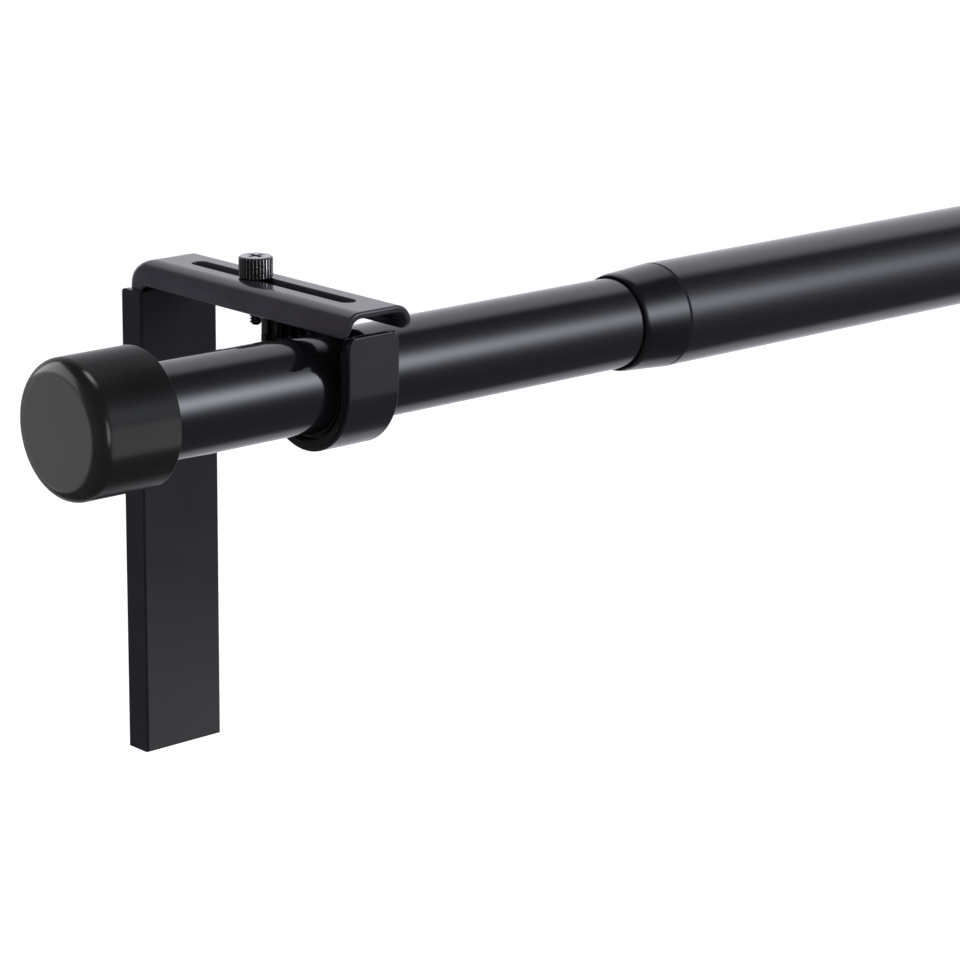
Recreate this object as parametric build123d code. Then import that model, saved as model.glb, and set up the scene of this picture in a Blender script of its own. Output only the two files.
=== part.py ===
from build123d import *
import math
import os

# An extendable curtain rod: a thin tube that slides in a thick one, held by two wall brackets.
# Frame: +X along the rod, +Y into the wall, +Z up. The origin is on the wall, at the middle of the
# left bracket and level with the rod's axis. Sizes are in millimetres.

# Rod and its place
rod_to_wall = 64.0
bracket_span = 614.0
rod_overhang = 55.3
outer_tube_d = 26.3
tube_wall = 0.8
tube_gap = 1.0
tube_edge_chamfer = 0.25
inner_tube_end_gap = 7.3

# Collar that steps the thick tube down to the thin one
collar_start = 91.7
collar_length = 15.0
collar_mouth_step = 0.55
collar_shoulder_step = 0.95
collar_shoulder_length = 1.6
collar_spigot_length = 20.0
collar_spigot_wall_gap = 0.05
collar_bore_gap = 0.08

# Plug in the hidden end of the thin tube
plug_spigot_length = 12.0
plug_flange_length = 3.0
plug_bore_d = 12.0
plug_fit = 0.05

# Finials
finial_over_tube = 2.95
finial_length = 22.0
finial_edge_r = 3.6
finial_shell = 1.8
finial_rib_count = 6
finial_rib_t = 1.4
finial_rib_setback = 2.5
finial_rim_r = 0.4
finial_spigot_length = 13.0
finial_spigot_wall = 2.0
finial_fit = 0.05
socket_depth = 15.0

# Bracket, folded from one sheet: a channel that runs along the wall and out under its own bend
arm_sheet = 1.5
arm_width = 19.8
arm_corner_r = 4.5
arm_fold_r = 2.5
arm_front_corner_r = 2.5
arm_over_tube = 0.35
arm_flange = 6.0
arm_reach = 81.4
arm_bend_r = 6.5
arm_inner_bend_r = 2.0
arm_end_break = 0.6
plate_flange = 5.5
slot_width = 4.3
slot_start = 14.0
slot_front_margin = 9.2
slot_rim_r = 0.25
wall_hole_d = 5.0
wall_hole_spacing = 72.0
upper_hole_drop = 12.0

# Cover that slides up over the wall part of the bracket
cover_height = 117.0
cover_top_gap = 1.1
cover_wall = 1.4
cover_side_gap = 0.25
cover_front_gap = 0.5
cover_edge_r = 0.5
cover_back_corner_r = 1.0
cover_end_gap = 1.0
cover_lip_angle = 45.0
guide_rib_t = 1.0
guide_rib_gap = 0.1
guide_rib_short = 12.0

# Holder: a steel strap bent into a hook, with a tapped tab that slides in the arm
strap_t = 1.5
strap_width = 14.9
hook_over_tube = 2.75
lip_below_arm = 0.3
lip_corner_r = 2.5
strap_edge_break = 0.25
tab_bend_r = 1.5
tab_tail = 6.5
tab_gap = 0.1
tab_side_gap = 0.2
screw_behind_rod = 26.9

# Ribbed liner clipped into the hook
liner_base = 0.9
liner_lip_t = 0.6
liner_lip_cover = 0.7
liner_lip_top = 9.0
liner_top_setback = 0.2
liner_rib_count = 5
liner_rib_pitch = 2.9
liner_rib_t = 1.0
tube_running_gap = 0.05

# Knurled thumb screw
screw_d = 3.0
thread_depth = 0.3
screw_fit = 0.05
screw_below_arm_top = 11.3
screw_tip_chamfer = 0.4
head_d = 8.1
head_height = 5.1
head_seat_gap = 0.1
head_top_bevel = 0.4
head_foot_bevel = 0.25
knurl_count = 30
knurl_cutter_r = 0.32
recess_length = 3.8
recess_width = 0.9
recess_depth = 1.6
recess_taper = 12.0

# Sizes that follow from the ones above
outer_tube_r = outer_tube_d / 2
outer_bore_r = outer_tube_r - tube_wall
inner_tube_r = outer_bore_r - tube_gap
inner_bore_r = inner_tube_r - tube_wall
arm_top = outer_tube_r + arm_over_tube + arm_flange
screw_to_wall = rod_to_wall - screw_behind_rod
slot_length = arm_reach - slot_start - slot_front_margin
hook_outer_r = outer_tube_r + hook_over_tube
hook_inner_r = hook_outer_r - strap_t
hook_lip_top = arm_top - arm_flange - lip_below_arm
tab_top = arm_top - arm_sheet - tab_gap
tab_width = arm_width - 2 * (arm_corner_r + tab_side_gap)
neck_bottom = arm_top - arm_corner_r - tab_side_gap
cover_width = arm_width + 2 * (cover_side_gap + cover_wall)
cover_depth = plate_flange + cover_front_gap + cover_wall
cover_top = arm_top - arm_flange - cover_top_gap
cover_bottom = cover_top - cover_height
plate_bottom = cover_bottom + cover_wall + cover_end_gap
collar_end = collar_start + collar_length
inner_tube_start = -rod_overhang - socket_depth
inner_tube_end = bracket_span - inner_tube_end_gap
outer_tube_end = bracket_span + rod_overhang + socket_depth

# Sketches that are turned or extruded along the rod use (y, z) or (along, radius)
side_plane = Plane.YZ
rod_axis_place = Pos(0, -rod_to_wall, 0)

# How near an edge's middle has to be to the place it is looked for
pick_gap = 0.01

# Cut off the channel's top, so that the blend of its rear corners ends in a short edge and not in a point
top_skim = 0.005


def turned(points, edge_radii=()):
    """A solid turned about the rod's axis from (along, radius) points; edge_radii rounds them by index."""
    profile = make_face(Polyline(*points, close=True))
    for index, radius in edge_radii:
        corner = profile.vertices().sort_by_distance(Vector(*points[index]))[0]
        profile = fillet(corner, radius)
    return rod_axis_place * revolve(profile, Axis.X)


def tube(start, end, outer_r):
    """A tube with both ends lightly chamfered outside."""
    bore_r = outer_r - tube_wall
    break_r = outer_r - tube_edge_chamfer
    return turned([
        (start, bore_r),
        (start, break_r),
        (start + tube_edge_chamfer, outer_r),
        (end - tube_edge_chamfer, outer_r),
        (end, break_r),
        (end, bore_r),
    ])


def reducer_collar():
    """Moulded collar: a convex cone outside the thick tube's mouth and a thin spigot inside it."""
    bore_r = inner_tube_r + collar_bore_gap
    mouth_r = inner_tube_r + collar_mouth_step
    shoulder_r = inner_tube_r + collar_shoulder_step
    spigot_r = outer_bore_r - collar_spigot_wall_gap
    spigot_end = collar_end + collar_spigot_length
    shoulder_x = collar_start + collar_shoulder_length
    with BuildSketch() as profile:
        with BuildLine():
            Line((collar_start, bore_r), (collar_start, mouth_r))
            cone = Line((shoulder_x, shoulder_r), (collar_end, outer_tube_r))
            TangentArc([(shoulder_x, shoulder_r), (collar_start, mouth_r)], tangent=cone @ 0 - cone @ 1)
            Polyline(
                (collar_end, outer_tube_r),
                (collar_end, spigot_r),
                (spigot_end, spigot_r),
                (spigot_end, bore_r),
                (collar_start, bore_r),
            )
        make_face()
    return rod_axis_place * revolve(profile.sketch, Axis.X)


def glide_plug():
    """Hollow plug in the thin tube's hidden end; its flange runs in the thick tube."""
    spigot_r = inner_bore_r - plug_fit
    flange_r = outer_bore_r - plug_fit
    spigot_start = inner_tube_end - plug_spigot_length
    flange_end = inner_tube_end + plug_flange_length
    return turned([
        (spigot_start, plug_bore_d / 2),
        (spigot_start, spigot_r),
        (inner_tube_end, spigot_r),
        (inner_tube_end, flange_r),
        (flange_end, flange_r),
        (flange_end, plug_bore_d / 2),
    ])


def finial(tube_r):
    """Left end cap: a shell with ribs outside the tube's end and a spigot inside it."""
    shell_r = outer_tube_r + finial_over_tube
    cavity_r = shell_r - finial_shell
    rim = -rod_overhang
    front = rim - finial_length
    seat = rim - socket_depth
    spigot_r = tube_r - tube_wall - finial_fit
    cap = turned(
        [(front, 0), (front, shell_r), (rim, shell_r), (rim, 0)],
        [(1, finial_edge_r), (2, finial_rim_r)],
    )
    cap -= turned([(seat, 0), (seat, cavity_r), (rim, cavity_r), (rim, 0)])
    cap += turned([
        (seat, spigot_r - finial_spigot_wall),
        (seat, spigot_r),
        (seat + finial_spigot_length, spigot_r),
        (seat + finial_spigot_length, spigot_r - finial_spigot_wall),
    ])
    rib_length = socket_depth - finial_rib_setback
    rib_foot = tube_r + finial_fit
    rib_height = cavity_r + finial_shell / 2 - rib_foot
    rib_place = Pos(seat + rib_length / 2, 0, rib_foot + rib_height / 2)
    rib = rib_place * Box(rib_length, finial_rib_t, rib_height)
    for index in range(finial_rib_count):
        cap += rod_axis_place * Rot(index * 360 / finial_rib_count, 0, 0) * rib
    return cap


def channel_block(sheet_inset, run_past):
    """The folded channel's envelope, moved in by sheet_inset; run_past carries a cutter past its ends."""
    half_width = arm_width / 2 - sheet_inset
    back = -sheet_inset
    top = arm_top - sheet_inset + top_skim
    front = -arm_reach - run_past
    bottom = plate_bottom - run_past
    under_arm = arm_top - arm_flange - run_past
    before_plate = -plate_flange - run_past
    side = make_face(Polyline(
        (back, bottom), (back, top), (front, top), (front, under_arm),
        (before_plate, under_arm), (before_plate, bottom), close=True,
    ))
    for corner, radius in (
            ((back, top), arm_bend_r - sheet_inset),
            ((before_plate, under_arm), arm_inner_bend_r),
            ((front, under_arm), arm_front_corner_r)):
        side = fillet(side.vertices().sort_by_distance(Vector(*corner))[0], radius)
    across = Pos(0, (top + bottom) / 2) * Rectangle(2 * half_width, top - bottom)
    across = fillet(across.vertices().group_by(Axis.Y)[-1], arm_corner_r - sheet_inset)
    block = extrude(side_plane * side, half_width, both=True)
    block &= extrude(Plane.XZ * across, -front, both=True)

    def is_rear_fold(edge):
        middle = edge.center()
        beside = abs(middle.X) > half_width - arm_corner_r
        behind = middle.Y > before_plate + pick_gap
        return beside and behind and middle.Z > bottom + pick_gap

    block = fillet(block.edges().filter_by(is_rear_fold), arm_fold_r - sheet_inset)
    return split(block, Plane.XY.offset(top - top_skim), keep=Keep.BOTTOM)


def bracket():
    """Wall bracket at the origin: one folded channel with a slotted arm and two screw holes."""
    shell = channel_block(0, 0) - channel_block(arm_sheet, arm_sheet)
    slot_middle = -slot_start - slot_length / 2
    slot = extrude(SlotOverall(slot_length, slot_width, rotation=90), arm_flange)
    shell -= Pos(0, slot_middle, arm_top - arm_flange / 2) * slot
    for drop in (upper_hole_drop, upper_hole_drop + wall_hole_spacing):
        shell -= Pos(0, 0, -drop) * Rot(90, 0, 0) * Cylinder(wall_hole_d / 2, 4 * arm_sheet)
    slot_rim = shell.faces().sort_by(Axis.Z)[-1].inner_wires()[0].edges()
    shell = fillet(slot_rim, slot_rim_r)
    end_edges = shell.faces().sort_by(Axis.Y)[0].edges()
    return fillet(end_edges.group_by(Axis.Z)[-1], arm_end_break)


def plate_cover():
    """Moulded cover: a box profile open at the back and top, whose rear lips grip the channel's corners."""
    half_width = cover_width / 2
    cavity_half = arm_width / 2 + cover_side_gap
    cavity_front = -cover_depth + cover_wall
    grip_r = arm_fold_r + cover_side_gap
    lip_angle = math.radians(cover_lip_angle)
    lip_x = arm_width / 2 - arm_fold_r + grip_r * math.sin(lip_angle)
    lip_y = -arm_fold_r + grip_r * math.cos(lip_angle)
    cover_middle_z = cover_bottom + cover_height / 2
    outside = Pos(0, -cover_depth / 2, cover_middle_z) * Box(cover_width, cover_depth, cover_height)
    front_edges = outside.edges().group_by(Axis.Y)[0]
    outside = fillet(front_edges.filter_by(Axis.Z) + front_edges.group_by(Axis.Z)[0], cover_edge_r)
    top_back_edge = outside.edges().filter_by(Axis.X).group_by(Axis.Y)[-1].group_by(Axis.Z)[-1]
    outside = fillet(top_back_edge, cover_back_corner_r)
    cavity_floor = cover_bottom + cover_wall
    cavity_height = cover_top - cavity_floor
    cavity = Pos(0, cavity_front / 2, cavity_floor + cavity_height / 2) * Box(
        2 * cavity_half, -cavity_front, cavity_height)
    cover = outside - cavity
    rib_front = -plate_flange - guide_rib_gap
    rib_x = arm_width / 2 - arm_sheet / 2
    rib_height = cavity_height - guide_rib_short
    for side in (-1, 1):
        lip = Box(half_width - lip_x, -lip_y, cover_height)
        cover += Pos(side * (half_width + lip_x) / 2, lip_y / 2, cover_middle_z) * lip
        rib = Box(guide_rib_t, rib_front - cavity_front, rib_height)
        cover += Pos(side * rib_x, (rib_front + cavity_front) / 2, cavity_floor + rib_height / 2) * rib
    return cover & outside


def hook_band(inner_r, outer_r, front_top, rear_top):
    """A band bent round under the rod, in the (y, z) sketch: half a ring and two upright legs."""
    ring = Circle(outer_r) - Circle(inner_r)
    under = Pos(0, -outer_r / 2) * Rectangle(2 * outer_r, outer_r)
    middle_r = (inner_r + outer_r) / 2
    front_leg = Pos(-middle_r, front_top / 2) * Rectangle(outer_r - inner_r, front_top)
    rear_leg = Pos(middle_r, rear_top / 2) * Rectangle(outer_r - inner_r, rear_top)
    return Pos(-rod_to_wall, 0) * ((ring & under) + front_leg + rear_leg)


def holder():
    """Steel strap: hook under the rod, upright behind it, and a tab with a tapped hole in the arm."""
    bend_top = tab_top - strap_t - tab_bend_r
    bend_y = -rod_to_wall + hook_outer_r + tab_bend_r
    tab_end = -screw_to_wall + tab_tail
    bend_ring = Circle(tab_bend_r + strap_t) - Circle(tab_bend_r)
    quarter = Pos(-(tab_bend_r + strap_t) / 2, (tab_bend_r + strap_t) / 2) * Rectangle(
        tab_bend_r + strap_t, tab_bend_r + strap_t)
    bend = Pos(bend_y, bend_top) * (bend_ring & quarter)
    tab = Pos((bend_y + tab_end) / 2, tab_top - strap_t / 2) * Rectangle(tab_end - bend_y, strap_t)
    side = hook_band(hook_inner_r, hook_outer_r, hook_lip_top, bend_top) + bend + tab
    strap = extrude(side_plane * side, strap_width / 2, both=True)
    lip_corners = strap.edges().filter_by(Axis.Y).filter_by(
        lambda edge: edge.center().Y < -rod_to_wall and edge.center().Z > hook_lip_top - strap_t)
    strap = fillet(lip_corners, lip_corner_r)
    strap_edges = strap.edges().filter_by(lambda edge: abs(edge.center().X) > strap_width / 2 - pick_gap)
    strap = fillet(strap_edges, strap_edge_break)
    neck_length = tab_end + rod_to_wall
    for side in (-1, 1):
        beside_tab = Box(strap_width, neck_length, 2 * (tab_top - neck_bottom))
        strap -= Pos(side * (tab_width + strap_width) / 2, tab_end - neck_length / 2, tab_top) * beside_tab
    tapped_hole = Pos(0, -screw_to_wall, tab_top) * Cylinder(screw_d / 2 + screw_fit, 4 * strap_t)
    return strap - tapped_hole


def liner(tube_r):
    """Moulded liner in the hook: a thin base, ribs that bear on the tube, lips over the strap's edges."""
    base_r = hook_inner_r - liner_base
    front_top = hook_lip_top - liner_top_setback
    base_band = hook_band(base_r, hook_inner_r, front_top, hook_lip_top)
    base = extrude(side_plane * base_band, strap_width / 2, both=True)
    rib_band = hook_band(tube_r + tube_running_gap, base_r, liner_lip_top, hook_lip_top)
    for index in range(liner_rib_count):
        rib_x = (index - (liner_rib_count - 1) / 2) * liner_rib_pitch
        base += Pos(rib_x, 0, 0) * extrude(side_plane * rib_band, liner_rib_t / 2, both=True)
    lip_band = hook_band(base_r, hook_inner_r + liner_lip_cover, liner_lip_top, liner_lip_top)
    for side in (-1, 1):
        lip_x = side * (strap_width + liner_lip_t) / 2
        base += Pos(lip_x, 0, 0) * extrude(side_plane * lip_band, liner_lip_t / 2, both=True)
    return base


def thumb_screw():
    """Thumb screw: knurled head with a cross recess, shank through slot and tab, bare thread core below."""
    head_foot = arm_top + head_seat_gap
    head_top = head_foot + head_height
    tip = arm_top - screw_below_arm_top
    tab_bottom = tab_top - strap_t
    knurl = Circle(head_d / 2)
    for spot in PolarLocations(head_d / 2, knurl_count):
        knurl -= spot * Circle(knurl_cutter_r)
    head = Pos(0, 0, head_foot) * extrude(knurl, head_height)
    blank = Pos(0, 0, head_foot + head_height / 2) * Cylinder(head_d / 2, head_height)
    blank = chamfer(blank.edges().group_by(Axis.Z)[-1], head_top_bevel)
    blank = chamfer(blank.edges().group_by(Axis.Z)[0], head_foot_bevel)
    head &= blank
    cross = Rectangle(recess_length, recess_width) + Rectangle(recess_width, recess_length)
    head -= Pos(0, 0, head_top) * extrude(cross, -recess_depth, taper=recess_taper)
    shank_length = head_foot - tab_bottom
    shank = Pos(0, 0, tab_bottom + shank_length / 2) * Cylinder(screw_d / 2, shank_length)
    core_length = tab_bottom - tip
    core = Pos(0, 0, tip + core_length / 2) * Cylinder(screw_d / 2 - thread_depth, core_length)
    core = chamfer(core.edges().group_by(Axis.Z)[0], screw_tip_chamfer)
    return Pos(0, -screw_to_wall, 0) * (head + shank + core)


# The pieces, by node name
pieces = {
    "inner_tube": tube(inner_tube_start, inner_tube_end, inner_tube_r),
    "outer_tube": tube(collar_end, outer_tube_end, outer_tube_r),
    "reducer_collar": reducer_collar(),
    "glide_plug": glide_plug(),
    "left_finial": finial(inner_tube_r),
    "right_finial": Pos(bracket_span, 0, 0) * mirror(finial(outer_tube_r), Plane.YZ),
}
for side, place, tube_r in (("left", 0.0, inner_tube_r), ("right", bracket_span, outer_tube_r)):
    pieces[side + "_bracket"] = Pos(place, 0, 0) * bracket()
    pieces[side + "_plate_cover"] = Pos(place, 0, 0) * plate_cover()
    pieces[side + "_holder"] = Pos(place, 0, 0) * holder()
    pieces[side + "_holder_liner"] = Pos(place, 0, 0) * liner(tube_r)
    pieces[side + "_thumb_screw"] = Pos(place, 0, 0) * thumb_screw()

os.makedirs("parts", exist_ok=True)
for name, shape in pieces.items():
    export_step(shape, f"parts/{name}.step")
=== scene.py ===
"""An extendable curtain rod in black: two telescoping steel tubes on folded wall brackets.

Everything is in metres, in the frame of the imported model: +X runs along the rod, +Y into the wall
and +Z up, with the origin on the wall at the left bracket, level with the rod's axis.
"""
import math

import bmesh
import bpy
from mathutils import Matrix, Vector


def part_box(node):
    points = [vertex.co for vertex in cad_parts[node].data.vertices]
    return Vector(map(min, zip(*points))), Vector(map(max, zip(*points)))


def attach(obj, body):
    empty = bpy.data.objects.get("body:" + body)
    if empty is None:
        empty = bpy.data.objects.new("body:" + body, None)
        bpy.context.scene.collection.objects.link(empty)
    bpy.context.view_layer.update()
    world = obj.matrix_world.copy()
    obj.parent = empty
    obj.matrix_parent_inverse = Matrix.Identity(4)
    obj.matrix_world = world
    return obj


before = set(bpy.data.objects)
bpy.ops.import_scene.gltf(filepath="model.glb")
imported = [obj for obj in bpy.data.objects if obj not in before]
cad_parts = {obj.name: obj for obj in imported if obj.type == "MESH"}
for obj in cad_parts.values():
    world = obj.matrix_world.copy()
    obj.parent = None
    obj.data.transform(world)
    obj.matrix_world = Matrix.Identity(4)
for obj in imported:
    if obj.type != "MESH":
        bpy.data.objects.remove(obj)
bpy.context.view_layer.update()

# The rod
# Two thin steel tubes, rolled and seam welded, with a smooth gloss black paint. The thin tube slides
# out of the thick one. The paint follows a faint long ripple that rolling leaves in the steel.
tube_black = (0.006, 0.006, 0.0075)
along_the_rod = (0.1, 1, 1)
patch_size = 0.012
patch_detail = 3
grain_detail = 4
tone_spread = 0.35
sheen_spread = 0.2
bump_height = 1e-4
usual_specular = 0.5


def new_material(name):
    """An empty node material with a Principled shader; returns the material, its nodes and links."""
    material = bpy.data.materials.new(name)
    material.use_nodes = True
    return material, material.node_tree.nodes, material.node_tree.links


def painted_finish(
        name, colour, roughness, grain_size, grain_strength, edge_r,
        specular=usual_specular, stretch=(1, 1, 1)):
    """Paint or moulded plastic: a slightly uneven colour and sheen, a fine grain and rounded edges."""
    material, nodes, links = new_material(name)
    shader = nodes["Principled BSDF"]
    shader.inputs["Specular IOR Level"].default_value = specular
    place = nodes.new("ShaderNodeTexCoord")
    mapping = nodes.new("ShaderNodeMapping")
    mapping.inputs["Scale"].default_value = stretch
    links.new(place.outputs["Object"], mapping.inputs["Vector"])

    patches = nodes.new("ShaderNodeTexNoise")
    patches.inputs["Scale"].default_value = 1 / patch_size
    patches.inputs["Detail"].default_value = patch_detail
    tone = nodes.new("ShaderNodeMix")
    tone.data_type = "RGBA"
    tone.inputs["A"].default_value = [channel * (1 - tone_spread) for channel in colour] + [1]
    tone.inputs["B"].default_value = [channel * (1 + tone_spread) for channel in colour] + [1]
    sheen = nodes.new("ShaderNodeMapRange")
    sheen.inputs["To Min"].default_value = roughness * (1 - sheen_spread)
    sheen.inputs["To Max"].default_value = roughness * (1 + sheen_spread)
    links.new(mapping.outputs["Vector"], patches.inputs["Vector"])
    links.new(patches.outputs["Fac"], tone.inputs["Factor"])
    links.new(tone.outputs["Result"], shader.inputs["Base Color"])
    links.new(patches.outputs["Fac"], sheen.inputs["Value"])
    links.new(sheen.outputs["Result"], shader.inputs["Roughness"])

    grains = nodes.new("ShaderNodeTexNoise")
    grains.inputs["Scale"].default_value = 1 / grain_size
    grains.inputs["Detail"].default_value = grain_detail
    rounding = nodes.new("ShaderNodeBevel")
    rounding.inputs["Radius"].default_value = edge_r
    bump = nodes.new("ShaderNodeBump")
    bump.inputs["Strength"].default_value = grain_strength
    bump.inputs["Distance"].default_value = bump_height
    links.new(mapping.outputs["Vector"], grains.inputs["Vector"])
    links.new(grains.outputs["Fac"], bump.inputs["Height"])
    links.new(rounding.outputs["Normal"], bump.inputs["Normal"])
    links.new(bump.outputs["Normal"], shader.inputs["Normal"])
    return material


def finish_node(node, material):
    """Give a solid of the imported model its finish."""
    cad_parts[node].data.materials.clear()
    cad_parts[node].data.materials.append(material)


tube_paint = painted_finish(
    "tube_paint", colour=tube_black, roughness=0.1, grain_size=4e-3, grain_strength=0.04,
    edge_r=1.5e-4, stretch=along_the_rod)
for node in ("inner_tube", "outer_tube"):
    finish_node(node, tube_paint)

# The collar and the plug
# A glossy moulded collar steps the thick tube down to the thin one; a plug guides the thin tube's
# hidden end. Both are pushed in and held by friction.
collar_edge_length = 0.6e-3
collar_edge_roughness = 0.7
collar_plastic = painted_finish(
    "collar_plastic", colour=(0.004, 0.004, 0.005), roughness=0.12, grain_size=3e-3,
    grain_strength=0.03, edge_r=2e-4, specular=0.33)


def math_node(tree, operation, *values):
    """A Math node fed by sockets or numbers; returns its output."""
    node = tree.nodes.new("ShaderNodeMath")
    node.operation = operation
    for index, value in enumerate(values):
        if isinstance(value, bpy.types.NodeSocket):
            tree.links.new(value, node.inputs[index])
        else:
            node.inputs[index].default_value = value
    return node.outputs["Value"]


# The collar's last edge, against the thick tube's mouth, is as it came from the mould: dull.
collar_tree = collar_plastic.node_tree
sheen_input = collar_tree.nodes["Principled BSDF"].inputs["Roughness"]
collar_place = collar_tree.nodes.new("ShaderNodeSeparateXYZ")
coordinates = collar_tree.nodes["Texture Coordinate"]
collar_tree.links.new(coordinates.outputs["Object"], collar_place.inputs["Vector"])
thick_tube_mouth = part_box("outer_tube")[0][0]
on_edge = math_node(
    collar_tree, "GREATER_THAN", collar_place.outputs["X"], thick_tube_mouth - collar_edge_length)
edge_sheen = math_node(collar_tree, "MULTIPLY", on_edge, collar_edge_roughness)
collar_sheen = math_node(collar_tree, "MAXIMUM", sheen_input.links[0].from_socket, edge_sheen)
collar_tree.links.new(collar_sheen, sheen_input)
finish_node("reducer_collar", collar_plastic)
finish_node("glide_plug", collar_plastic)

# The finials
# Matte moulded end caps, rounded at the front, with a fine spark-eroded texture all over. Each is
# pushed over the end of its tube, where a spigot inside it takes hold.
finial_plastic = painted_finish(
    "finial_plastic", colour=(0.01, 0.01, 0.01), roughness=0.22, grain_size=4e-4,
    grain_strength=0.05, edge_r=2e-4, specular=0.05)
for side in ("left", "right"):
    finish_node(side + "_finial", finial_plastic)

# The brackets
# One folded steel channel each, screwed to the wall by its upright part, with a slotted arm on top.
# The black powder coat is satin from above and mirrors at a low angle.
bracket_paint = painted_finish(
    "bracket_paint", colour=(0.024, 0.0215, 0.028), roughness=0.14, grain_size=1.5e-3,
    grain_strength=0.04, edge_r=3e-4, specular=0.45)
for side in ("left", "right"):
    finish_node(side + "_bracket", bracket_paint)

# The covers
# Plain moulded covers that hide the upright part of the bracket and its wall screws. Each slides up
# from below and is held by its lips.
cover_plastic = painted_finish(
    "cover_plastic", colour=(0.004, 0.0038, 0.0058), roughness=0.32, grain_size=6e-4,
    grain_strength=0.1, edge_r=2e-4)
for side in ("left", "right"):
    finish_node(side + "_plate_cover", cover_plastic)

# The holders
# A steel strap bent into a hook under the rod, and behind it up into the arm, where it ends in a
# tapped tab. It is powder coated in a deeper gloss than the bracket.
holder_paint = painted_finish(
    "holder_paint", colour=(0.007, 0.0075, 0.0095), roughness=0.15, grain_size=1.5e-3,
    grain_strength=0.04, edge_r=3e-4)
for side in ("left", "right"):
    finish_node(side + "_holder", holder_paint)

# The liners
# Ribbed strips of softer plastic, clipped into the hooks by lips over the strap's edges. They keep
# the tube's paint from the steel.
liner_plastic = painted_finish(
    "liner_plastic", colour=(0.004, 0.004, 0.0045), roughness=0.2, grain_size=5e-4,
    grain_strength=0.1, edge_r=2e-4, specular=0.35)
for side in ("left", "right"):
    finish_node(side + "_holder_liner", liner_plastic)

# The liner's beads
# The thin tube leaves room in its hook, so each end of that liner shows two thin beads that run
# round with the hook, one inside the other. They are moulded on the face of the outermost rib.
bead_radii = ((13.15e-3, 13.5e-3), (11.85e-3, 12.45e-3))
bead_length = 1.3e-3
bead_sink = 0.1e-3
rib_face = 6.3e-3
bead_start = math.radians(90)
bead_sweep = math.radians(180)
bead_steps = 60
tube_low, tube_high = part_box("inner_tube")
rod_axis = Vector((0, (tube_low[1] + tube_high[1]) / 2, (tube_low[2] + tube_high[2]) / 2))


def finished_piece(name, mesh, material):
    """Make an object of a bmesh, with its faces outwards and its finish on; returns the object."""
    bmesh.ops.recalc_face_normals(mesh, faces=mesh.faces)
    data = bpy.data.meshes.new(name)
    mesh.to_mesh(data)
    mesh.free()
    data.materials.append(material)
    piece = bpy.data.objects.new(name, data)
    bpy.context.scene.collection.objects.link(piece)
    return piece


for name, end in (("left_liner_beads_outside", -1), ("left_liner_beads_inside", 1)):
    foot = end * (rib_face - bead_sink)
    tip = end * (rib_face + bead_length)
    mesh = bmesh.new()
    for inner_r, outer_r in bead_radii:
        corners = ((foot, inner_r), (foot, outer_r), (tip, outer_r), (tip, inner_r))
        profile = [mesh.verts.new(rod_axis + Vector((x, 0, radius))) for x, radius in corners]
        section = mesh.faces.new(profile)
        to_start = Matrix.Rotation(bead_start, 3, "X")
        bmesh.ops.rotate(mesh, verts=profile, cent=rod_axis, matrix=to_start)
        bmesh.ops.spin(
            mesh, geom=[section] + profile, cent=rod_axis, axis=(1, 0, 0), angle=bead_sweep,
            steps=bead_steps, use_duplicate=False)
    beads = finished_piece(name, mesh, liner_plastic)
    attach(beads, "left_hook")

# The thumb screws
# Turned steel with a knurled head and a cross recess, blackened all over. Each goes down through
# the arm's slot into the holder's tab and clamps it to the arm.
black_oxide = (0.003, 0.003, 0.0035, 1)
# Bare steel for the worn crests, also used as a painted highlight on the head's top.
worn_and_highlight_steel = (0.31, 0.31, 0.315, 1)
crest_from = 3.88e-3
crest_to = 4.0e-3
# How far the painted shade in grooves and hollows reaches, and its ramp.
hollow_reach = 1e-3
hollow_shade = (0.5, 0.95)
upward_share = (0.4, 0.8)
# Size of the black cross painted over and around the recess as shade.
recess_half_width = 0.75e-3
recess_half_length = 2.15e-3
recess_fade = 0.1e-3
screw_steel = painted_finish(
    "screw_steel", colour=black_oxide[:3], roughness=0.2, grain_size=3e-4,
    grain_strength=0.04, edge_r=1e-4, specular=0.25)


def ramp(tree, value, start, end):
    """A share from 0 at start to 1 at end."""
    node = tree.nodes.new("ShaderNodeMapRange")
    node.inputs["From Min"].default_value = start
    node.inputs["From Max"].default_value = end
    tree.links.new(value, node.inputs["Value"])
    return node.outputs["Result"]


# Handling has worn the knurl's crests to bare steel. The head's upward faces get the same bare colour
# as a painted highlight. The grooves, the hollows and a cross a little wider than the recess stay
# black as painted shade. Wrapping x by the span between the brackets brings both screws to the same
# axis.
screw_tree = screw_steel.node_tree
shader = screw_tree.nodes["Principled BSDF"]
left_low, left_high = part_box("left_thumb_screw")
right_low, right_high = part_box("right_thumb_screw")
span = right_low[0] - left_low[0]
screw_place = screw_tree.nodes.new("ShaderNodeSeparateXYZ")
coordinates = screw_tree.nodes["Texture Coordinate"]
screw_tree.links.new(coordinates.outputs["Object"], screw_place.inputs["Vector"])
off_x = math_node(screw_tree, "WRAP", screw_place.outputs["X"], span / 2, -span / 2)
off_y = math_node(
    screw_tree, "SUBTRACT", screw_place.outputs["Y"], (left_low[1] + left_high[1]) / 2)
off_y_squared = math_node(screw_tree, "MULTIPLY", off_y, off_y)
off_axis = math_node(
    screw_tree, "SQRT", math_node(screw_tree, "MULTIPLY_ADD", off_x, off_x, off_y_squared))
facing = screw_tree.nodes.new("ShaderNodeSeparateXYZ")
surface = screw_tree.nodes.new("ShaderNodeNewGeometry")
screw_tree.links.new(surface.outputs["Normal"], facing.inputs["Vector"])
open_sky = screw_tree.nodes.new("ShaderNodeAmbientOcclusion")
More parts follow.
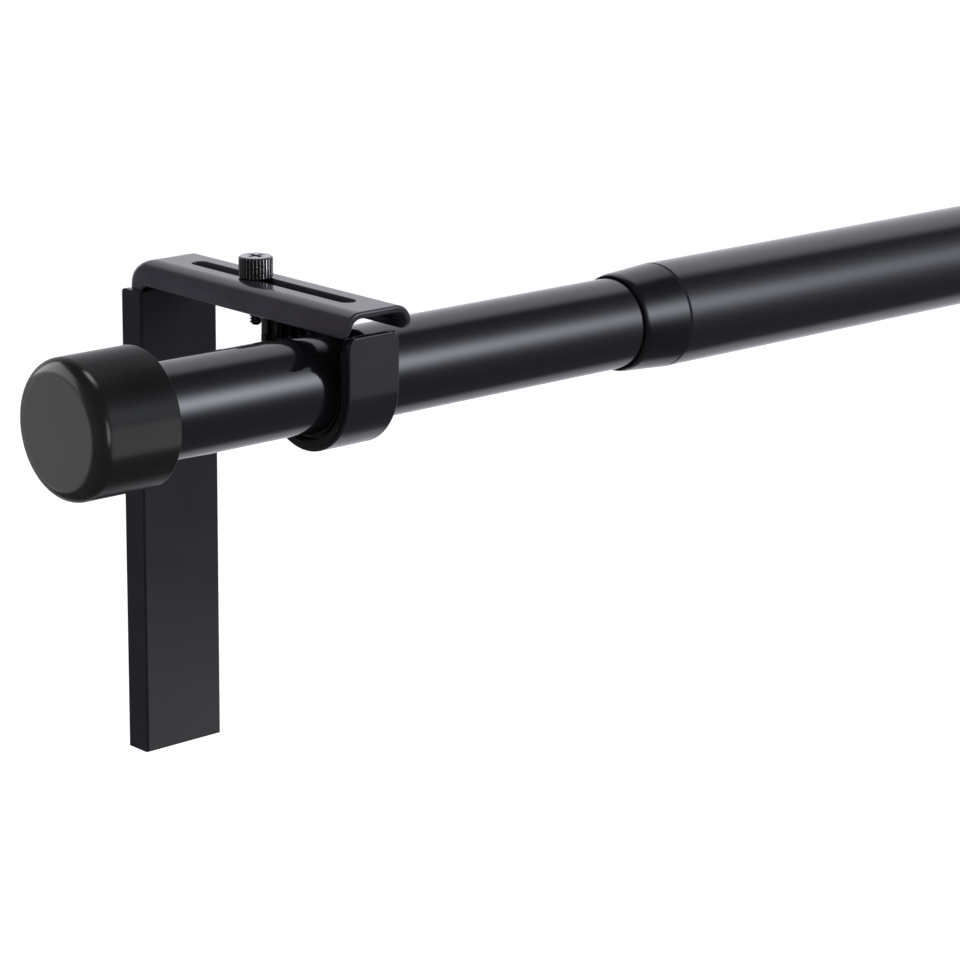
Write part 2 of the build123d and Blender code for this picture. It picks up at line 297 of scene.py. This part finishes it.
open_sky.inputs["Distance"].default_value = hollow_reach
beside_x = math_node(screw_tree, "ABSOLUTE", off_x)
beside_y = math_node(screw_tree, "ABSOLUTE", off_y)
# A cross round the recess stays black: painted shade.
past_arms = ramp(
    screw_tree, math_node(screw_tree, "MINIMUM", beside_x, beside_y),
    recess_half_width, recess_half_width + recess_fade)
past_ends = ramp(
    screw_tree, math_node(screw_tree, "MAXIMUM", beside_x, beside_y),
    recess_half_length, recess_half_length + recess_fade)
outside_painted_cross_shade = math_node(screw_tree, "MAXIMUM", past_arms, past_ends)
# Upward faces of the head take the bare colour: a painted highlight.
on_top = ramp(screw_tree, facing.outputs["Z"], *upward_share)
painted_top_highlight = math_node(screw_tree, "MULTIPLY", on_top, outside_painted_cross_shade)
crest_polish = ramp(screw_tree, off_axis, crest_from, crest_to)
wear_and_painted_highlight = math_node(screw_tree, "MAXIMUM", crest_polish, painted_top_highlight)
# Grooves and hollows are kept black by ambient occlusion: painted shade.
outside_painted_hollow_shade = ramp(screw_tree, open_sky.outputs["AO"], *hollow_shade)
wear_and_painted_light = math_node(screw_tree, "MULTIPLY", wear_and_painted_highlight, outside_painted_hollow_shade)
# Bare colour for the worn crests and the painted highlight, black for the painted shade.
wear_and_light_colour = screw_tree.nodes.new("ShaderNodeMix")
wear_and_light_colour.data_type = "RGBA"
wear_and_light_colour.inputs["A"].default_value = black_oxide
wear_and_light_colour.inputs["B"].default_value = worn_and_highlight_steel
screw_tree.links.new(wear_and_painted_light, wear_and_light_colour.inputs["Factor"])
screw_tree.links.new(wear_and_light_colour.outputs["Result"], shader.inputs["Base Color"])
screw_tree.links.new(wear_and_painted_light, shader.inputs["Metallic"])
for side in ("left", "right"):
    finish_node(side + "_thumb_screw", screw_steel)

# The screws' threads
# The ridge of the rolled thread below the bracket: one profile turned round the bare core of the
# CAD screw as it climbs, from the core's tip to the strap that it is screwed through.
strap_thickness = 1.5e-3
thread_pitch = 0.7e-3
thread_outer_r = 1.6e-3
thread_core_r = 1.2e-3
thread_root_half = 0.24e-3
thread_crest_half = 0.05e-3
thread_sink = 0.05e-3
thread_tip_clear = 0.45e-3
steps_per_turn = 24


def thread_ridge(name, screw_node, axis_y, start_z, end_z):
    """A helical ridge on a screw's core; its profile is given in the plane of the screw's axis."""
    low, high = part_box(screw_node)
    axis = Vector(((low[0] + high[0]) / 2, axis_y, 0))
    turns = (end_z - start_z) / thread_pitch
    corners = (
        (thread_core_r - thread_sink, -thread_root_half),
        (thread_outer_r, -thread_crest_half),
        (thread_outer_r, thread_crest_half),
        (thread_core_r - thread_sink, thread_root_half),
    )
    mesh = bmesh.new()
    profile = [
        mesh.verts.new(axis + Vector((radius, 0, start_z + rise))) for radius, rise in corners]
    section = mesh.faces.new(profile)
    steps = round(turns * steps_per_turn)
    bmesh.ops.spin(
        mesh, geom=[section] + profile, cent=axis, axis=(0, 0, 1), angle=2 * math.pi * turns,
        dvec=(0, 0, (end_z - start_z) / steps), steps=steps, use_duplicate=False)
    ridge = finished_piece(name, mesh, screw_steel)
    return ridge


for side in ("left", "right"):
    screw_low, screw_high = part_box(side + "_thumb_screw")
    tab_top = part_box(side + "_holder")[1][2]
    ridge = thread_ridge(
        side + "_screw_thread", side + "_thumb_screw", (screw_low[1] + screw_high[1]) / 2,
        screw_low[2] + thread_tip_clear, tab_top - strap_thickness)
    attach(ridge, side + "_screw")

# The studio
# A pale floor, a white backdrop behind the object and a dark room in front of it, as in the
# photograph, whose black paint mirrors all of them and one soft lamp at the front right.
floor_drop = 0.35
floor_reach = 30.0
floor_centre_x = 0.3
paper_white = (0.9, 0.9, 0.9, 1)
paper_roughness = 0.9
paper_lift = 0.6
room_level = 0.15
backdrop_facing = (0.678, 0.735, 0)
backdrop_edge = (0.41, 0.63)
backdrop_level = 1.02
backdrop_rise = 0.3
backdrop_tint = (0.935, 0.92, 1.0, 1)
softbox_tint = (0.84, 0.88, 1.0, 1)
# Each soft lamp's direction, its spread sideways and upwards, and its level.
soft_lamps = (
    ((0.52, -0.794, 0.314), (0.162, 0.172), 7.8),
    ((0.778, -0.584, 0.23), (0.204, 0.286), 0.95),
)
white = (1, 1, 1, 1)


def along(tree, vector, direction):
    """How far a vector reaches along a direction."""
    node = tree.nodes.new("ShaderNodeVectorMath")
    node.operation = "DOT_PRODUCT"
    tree.links.new(vector, node.inputs[0])
    node.inputs[1].default_value = direction
    return node.outputs["Value"]


floor_mesh = bmesh.new()
bmesh.ops.create_grid(floor_mesh, x_segments=1, y_segments=1, size=floor_reach)
bmesh.ops.translate(floor_mesh, verts=floor_mesh.verts, vec=(floor_centre_x, 0, -floor_drop))
floor_data = bpy.data.meshes.new("floor")
floor_mesh.to_mesh(floor_data)
floor_mesh.free()
floor = bpy.data.objects.new("floor", floor_data)
bpy.context.scene.collection.objects.link(floor)
floor.visible_glossy = False

floor_paper, nodes, links = new_material("floor_paper")
paper = nodes["Principled BSDF"]
paper.inputs["Base Color"].default_value = paper_white
paper.inputs["Roughness"].default_value = paper_roughness
paper.inputs["Specular IOR Level"].default_value = 0.0
paper.inputs["Emission Color"].default_value = white
rays = nodes.new("ShaderNodeLightPath")
lift = math_node(floor_paper.node_tree, "MULTIPLY", rays.outputs["Is Camera Ray"], paper_lift)
links.new(lift, paper.inputs["Emission Strength"])
floor_data.materials.append(floor_paper)

# The world is white to the camera; its light and reflections come from the backdrop and the lamps.
world = bpy.data.worlds.new("studio")
bpy.context.scene.world = world
world.use_nodes = True
tree = world.node_tree
ray_direction = tree.nodes.new("ShaderNodeTexCoord").outputs["Generated"]
height = along(tree, ray_direction, (0, 0, 1))
backdrop = math_node(tree, "MULTIPLY_ADD", height, backdrop_rise, backdrop_level)
edge = tree.nodes.new("ShaderNodeMapRange")
edge.interpolation_type = "SMOOTHSTEP"
edge.inputs["From Min"].default_value = backdrop_edge[0]
edge.inputs["From Max"].default_value = backdrop_edge[1]
edge.inputs["To Min"].default_value = room_level
tree.links.new(along(tree, ray_direction, backdrop_facing), edge.inputs["Value"])
tree.links.new(backdrop, edge.inputs["To Max"])

lamp_levels = []
for centre, spread, level in soft_lamps:
    centre = Vector(centre).normalized()
    sideways = centre.cross(Vector((0, 0, 1))).normalized()
    upwards = sideways.cross(centre)
    in_front = math_node(tree, "GREATER_THAN", along(tree, ray_direction, centre), 0.0)
    across = along(tree, ray_direction, sideways / spread[0])
    over = along(tree, ray_direction, upwards / spread[1])
    over_squared = math_node(tree, "MULTIPLY", over, over)
    off_centre = math_node(tree, "MULTIPLY_ADD", across, across, over_squared)
    glow = math_node(tree, "EXPONENT", math_node(tree, "MULTIPLY", off_centre, -0.5))
    glow_in_front = math_node(tree, "MULTIPLY", glow, in_front)
    lamp_levels.append(math_node(tree, "MULTIPLY", glow_in_front, level))

surroundings = tree.nodes["Background"]
surroundings.inputs["Color"].default_value = backdrop_tint
tree.links.new(edge.outputs["Result"], surroundings.inputs["Strength"])
lamp_light = tree.nodes.new("ShaderNodeBackground")
lamp_light.inputs["Color"].default_value = softbox_tint
lamp_total = lamp_levels[0]
for level in lamp_levels[1:]:
    lamp_total = math_node(tree, "ADD", lamp_total, level)
tree.links.new(lamp_total, lamp_light.inputs["Strength"])
camera_white = tree.nodes.new("ShaderNodeBackground")
camera_white.inputs["Color"].default_value = white
both = tree.nodes.new("ShaderNodeAddShader")
tree.links.new(surroundings.outputs["Background"], both.inputs[0])
tree.links.new(lamp_light.outputs["Background"], both.inputs[1])
rays = tree.nodes.new("ShaderNodeLightPath")
pick = tree.nodes.new("ShaderNodeMixShader")
tree.links.new(rays.outputs["Is Camera Ray"], pick.inputs["Fac"])
tree.links.new(both.outputs["Shader"], pick.inputs[1])
tree.links.new(camera_white.outputs["Background"], pick.inputs[2])
tree.links.new(pick.outputs["Shader"], tree.nodes["World Output"].inputs["Surface"])

# Two soft lamps light what is not mirrored. White cards are mirrored by one kind of piece each, and
# stand where its reflections in the photograph come from.
end_low, end_high = (Vector(corner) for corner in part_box("left_finial"))
end_face = Vector((end_low.x, (end_low.y + end_high.y) / 2, 0))
cover_low, cover_high = (Vector(corner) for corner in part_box("left_plate_cover"))
cover_foot = Vector(((cover_low.x + cover_high.x) / 2, cover_low.y, cover_low.z))
screw_head = Vector((left_low[0], left_low[1], left_high[2]))
strap_front = Vector((0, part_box("left_holder")[0][1], 0))
rod_middle = Vector((0.1, -0.05, 0))


def soft_lamp(name, target, direction, reach, width, height, radiance):
    """A rectangular lamp that shines on a target from a direction; returns its object."""
    data = bpy.data.lights.new(name, "AREA")
    data.shape = "RECTANGLE"
    data.size = width
    data.size_y = height
    data.energy = radiance * math.pi * width * height
    lamp = bpy.data.objects.new(name, data)
    bpy.context.scene.collection.objects.link(lamp)
    direction = Vector(direction).normalized()
    lamp.location = target + direction * reach
    lamp.rotation_mode = "QUATERNION"
    lamp.rotation_quaternion = (-direction).to_track_quat("-Z", "Y")
    lamp.visible_camera = False
    return lamp


for name, direction, reach, size, radiance in (
    ("side_lamp", (-1.6, 0.15, 0.3), 1.6, 1.0, 7.0),
    ("front_lamp", (0.5, -1.45, 0.9), 1.8, 1.2, 0.9),
):
    soft_lamp(name, rod_middle, direction, reach, size, size, radiance).visible_glossy = False
mirrors = {}
for piece in ("finial", "plate_cover", "thumb_screw", "holder"):
    mirrors[piece] = bpy.data.collections.new(piece)
    for side in ("left", "right"):
        mirrors[piece].objects.link(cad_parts[side + "_" + piece])
for name, piece, target, direction, reach, width, height, radiance in (
    ("face_card", "finial", end_face, (-0.556, 0.792, -0.252), 0.5, 0.3, 0.3, 3.95),
    ("rim_card", "finial", end_face, (-0.48, 0.72, 0.36), 0.5, 0.5, 0.36, 13.0),
    ("top_card", "finial", end_face, (0.29, 0.0, 0.96), 1.0, 0.4, 0.35, 30.0),
    ("front_card", "finial", end_face, (-0.06, -1.0, 0.03), 1.0, 0.3, 0.5, 30.0),
    ("low_card", "finial", end_face, (0.58, -0.77, -0.25), 0.6, 0.5, 0.4, 6.5),
    ("knurl_card", "thumb_screw", screw_head, (0.6, -0.78, -0.2), 0.8, 1.2, 0.5, 4.0),
    ("strap_card", "holder", strap_front, (0.58, -0.77, -0.24), 0.6, 0.6, 0.12, 0.3),
    ("foot_card", "plate_cover", cover_foot, (0.576, -0.748, -0.4), 0.3, 0.16, 0.1, 1.0),
):
    card = soft_lamp(name, target, direction, reach, width, height, radiance)
    card.visible_diffuse = False
    card.light_linking.receiver_collection = mirrors[piece]

# The camera
# Placed where the photograph was taken from: in front, to the left and a little above.
view_azimuth = math.radians(-42.67)
view_elevation = math.radians(16.63)
view_roll = math.radians(0.72)
view_distance = 0.84759
view_across = 0.07868
view_up = -0.05493
sensor = 36.0
focal_px = 3470.04
frame_px = 960
centre_drop_px = 80

back = Vector((
    math.sin(view_azimuth) * math.cos(view_elevation),
    -math.cos(view_azimuth) * math.cos(view_elevation),
    math.sin(view_elevation),
))
right = Vector((math.cos(view_azimuth), math.sin(view_azimuth), 0))
up = back.cross(right)
camera_right = right * math.cos(view_roll) + up * math.sin(view_roll)
camera_up = up * math.cos(view_roll) - right * math.sin(view_roll)
camera_data = bpy.data.cameras.new("camera")
camera_data.sensor_width = sensor
camera_data.lens = sensor * focal_px / frame_px
camera_data.shift_y = centre_drop_px / frame_px
camera = bpy.data.objects.new("camera", camera_data)
bpy.context.scene.collection.objects.link(camera)
turn = Matrix((camera_right, camera_up, back)).transposed()
camera.matrix_world = Matrix.Translation(
    back * view_distance + right * view_across + up * view_up) @ turn.to_4x4()
bpy.context.scene.camera = camera
bpy.context.scene.view_settings.view_transform = "Standard"
